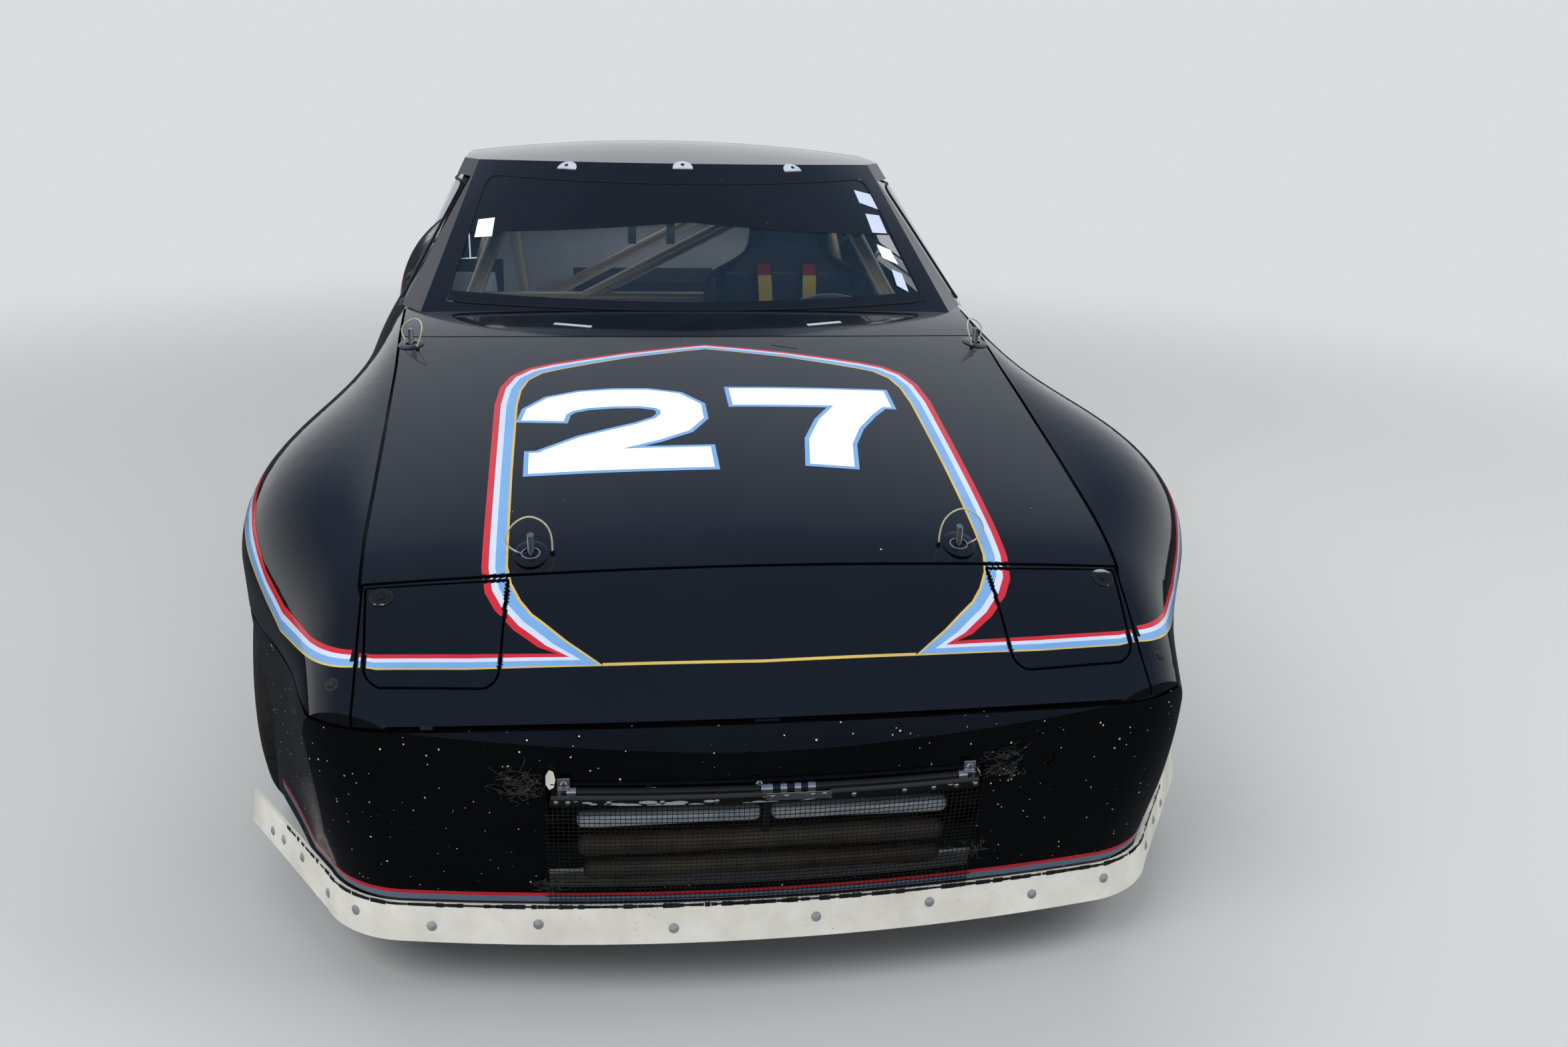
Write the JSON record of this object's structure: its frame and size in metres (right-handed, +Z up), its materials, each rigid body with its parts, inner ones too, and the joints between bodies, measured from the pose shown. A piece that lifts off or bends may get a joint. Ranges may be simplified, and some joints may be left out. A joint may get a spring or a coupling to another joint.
{
  "type": "closed two-door race car",
  "caption": "Stripped two-door race coupe: long hood, covered headlamps, roll cage, wide fenders, torn white plastic lip, glass hatch; wheels roll and steer.",
  "frame": {"origin": "bottom centre of the whole car, on the ground", "axes": "+Z up, the nose points to -Y, +X is the car's left side"},
  "size_m": [1.8094, 4.2323, 1.1902],
  "materials": {
    "black_paint": "gloss",
    "white_plastic": "satin",
    "black_wire": "satin",
    "alloy": "cast",
    "grey_paint": "satin",
    "lamp_plastic": "gloss",
    "clear_glass": "gloss",
    "clear_plastic": "gloss",
    "black_plastic": "satin",
    "seat_cloth": "woven",
    "bronze_paint": "gloss",
    "steel": "satin",
    "black_suede": "suede",
    "tyre": "rubber",
    "wheel_alloy": "painted",
    "wire": "coated"
  },
  "bodies": {
    "root": {"cowl": "black_paint", "dash": "black_plastic", "drive_line": "steel", "engine_block": "alloy", "exhaust": "steel", "floor_pan": "grey_paint", "front_apron": "black_paint", "front_fender_l": "black_paint", "front_fender_r": "black_paint", "front_lip": "white_plastic", "front_structure": "grey_paint", "front_suspension": "steel", "fuel_cell": "black_plastic", "grille_screen": "black_wire", "headlamp_lids": "black_paint", "hood_pins": "steel", "nose_panel": "black_paint", "quarter_windows": "clear_plastic", "race_seat": "seat_cloth", "radiator": "alloy", "rear_bumper": "black_paint", "rear_quarter_l": "black_paint", "rear_quarter_r": "black_paint", "rear_structure": "grey_paint", "rear_suspension": "steel", "roll_cage": "bronze_paint", "roof_and_pillars": "black_paint", "side_sills": "black_paint", "tail_lamps": "lamp_plastic", "tail_panel": "black_paint", "windshield": "clear_glass"},
    "hood": {"hood": "black_paint", "pin_clips": "steel", "lanyard_front_l": "wire", "lanyard_front_r": "wire", "lanyard_rear_l": "wire", "lanyard_rear_r": "wire"},
    "door_l": {"door_l": "black_paint", "side_window_l": "clear_plastic"},
    "door_r": {"door_r": "black_paint", "side_window_r": "clear_plastic"},
    "hatch": {"hatch": "black_paint", "hatch_glass": "clear_plastic"},
    "steering_wheel": {"steering_wheel": "black_suede"},
    "knuckle_l": {"knuckle_l": "steel"},
    "knuckle_r": {"knuckle_r": "steel"},
    "wheel_fl": {"rim_fl": "wheel_alloy", "tyre_fl": "tyre"},
    "wheel_fr": {"rim_fr": "wheel_alloy", "tyre_fr": "tyre"},
    "wheel_rl": {"rim_rl": "wheel_alloy", "tyre_rl": "tyre"},
    "wheel_rr": {"rim_rr": "wheel_alloy", "tyre_rr": "tyre"}
  },
  "joints": [
    {"name": "hood_lift", "type": "slide", "parent": "root", "child": "hood", "axis": [0, 0, 1], "range_m": [0, 0.3]},
    {"name": "door_l_hinge", "type": "hinge", "parent": "root", "child": "door_l", "pos_m": [0.818, -0.468, 0.5], "axis": [0, 0, -1], "range_deg": [0, 65]},
    {"name": "door_r_hinge", "type": "hinge", "parent": "root", "child": "door_r", "pos_m": [-0.818, -0.468, 0.5], "axis": [0, 0, 1], "range_deg": [0, 65]},
    {"name": "hatch_hinge", "type": "hinge", "parent": "root", "child": "hatch", "pos_m": [0, 0.562, 1.168], "axis": [1, 0, 0], "range_deg": [0, 60]},
    {"name": "steer_left", "type": "hinge", "parent": "root", "child": "knuckle_l", "pos_m": [0.685, -1.265, 0.15], "axis": [-0.1833, 0, 0.9831], "range_deg": [-24, 24]},
    {"name": "steer_right", "type": "hinge", "parent": "root", "child": "knuckle_r", "pos_m": [-0.685, -1.265, 0.15], "axis": [0.1833, 0, 0.9831], "range_deg": [-24, 24]},
    {"name": "steering_turn", "type": "hinge", "parent": "root", "child": "steering_wheel", "pos_m": [0.37, -0.33, 0.704], "axis": [0, 0.9063, 0.4226], "range_deg": [-361, 361]},
    {"name": "wheel_fl_spin", "type": "hinge", "parent": "knuckle_l", "child": "wheel_fl", "pos_m": [0.762, -1.265, 0.3], "axis": [1, 0, 0], "continuous": true},
    {"name": "wheel_fr_spin", "type": "hinge", "parent": "knuckle_r", "child": "wheel_fr", "pos_m": [-0.762, -1.265, 0.3], "axis": [1, 0, 0], "continuous": true},
    {"name": "wheel_rl_spin", "type": "hinge", "parent": "root", "child": "wheel_rl", "pos_m": [0.735, 1.135, 0.312], "axis": [1, 0, 0], "continuous": true},
    {"name": "wheel_rr_spin", "type": "hinge", "parent": "root", "child": "wheel_rr", "pos_m": [-0.735, 1.135, 0.312], "axis": [1, 0, 0], "continuous": true}
  ],
  "couplings": [
    {"joint": "steer_right", "follows": "steer_left", "ratio": 1},
    {"joint": "steering_turn", "follows": "steer_left", "ratio": 15}
  ]
}
